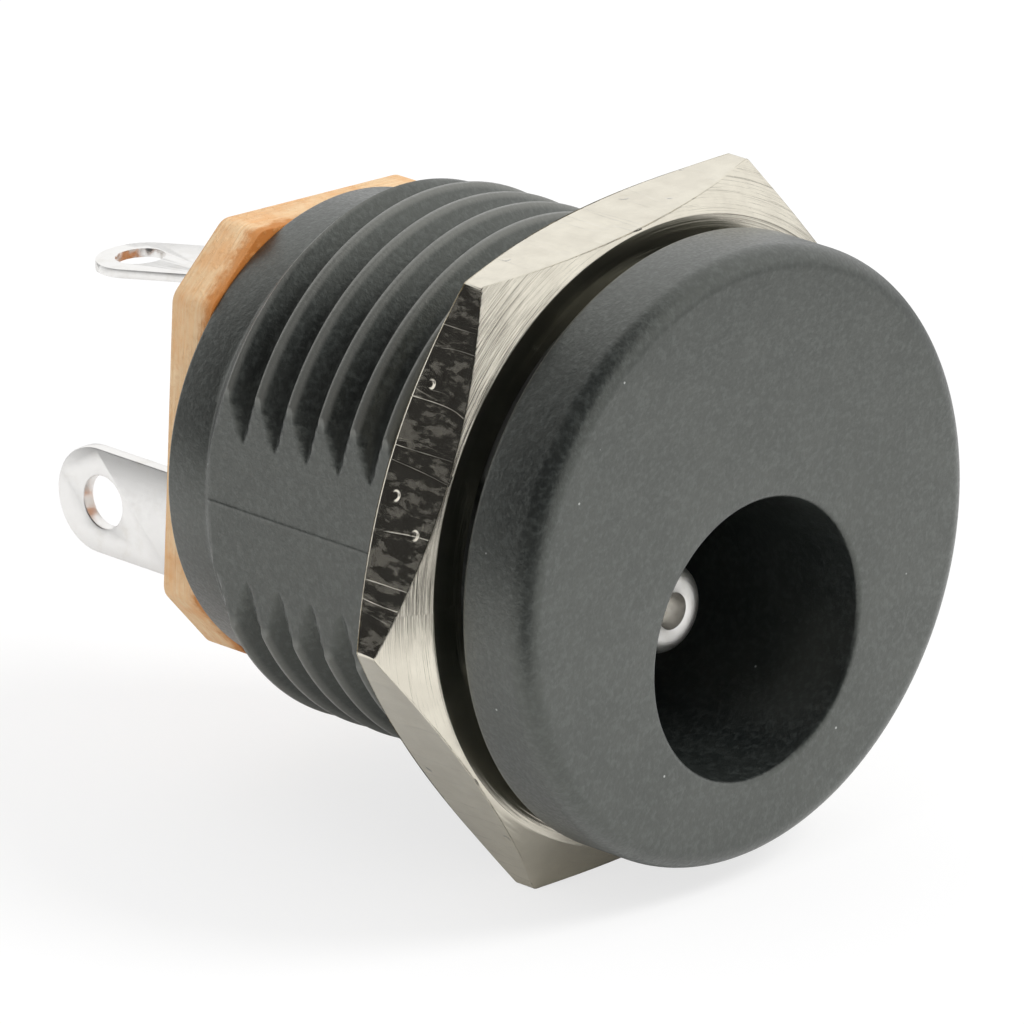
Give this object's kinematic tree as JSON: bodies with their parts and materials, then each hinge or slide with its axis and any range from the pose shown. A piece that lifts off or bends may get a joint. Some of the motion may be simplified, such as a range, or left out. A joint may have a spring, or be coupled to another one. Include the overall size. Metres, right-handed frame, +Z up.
{
  "type": "dc barrel jack",
  "caption": "Panel-mount DC power jack with a round flange, an off-centre socket, a flatted threaded barrel, a hex nut, a terminal plate and solder lugs.",
  "frame": {"origin": "centre of the flange's rear face, on the axis of the threaded barrel", "axes": "+Y along the barrel towards the lugs, the socket faces -Y, +Z up, the barrel's flats face +X and -X"},
  "size_m": [0.016, 0.0174, 0.0148],
  "materials": {
    "housing": "moulded, matte black",
    "hex_nut": "nickel plated, turned and chamfered",
    "centre_pin": "nickel plated, turned",
    "terminal_plate": "phenolic paper laminate, punched",
    "pin_terminal": "tinned sheet",
    "sleeve_contact": "tinned sheet",
    "switch_contact": "tinned sheet"
  },
  "bodies": {
    "root": {"housing": "housing", "hex_nut": "hex_nut", "centre_pin": "centre_pin", "terminal_plate": "terminal_plate", "pin_terminal": "pin_terminal", "sleeve_contact": "sleeve_contact", "switch_contact": "switch_contact"}
  },
  "joints": []
}
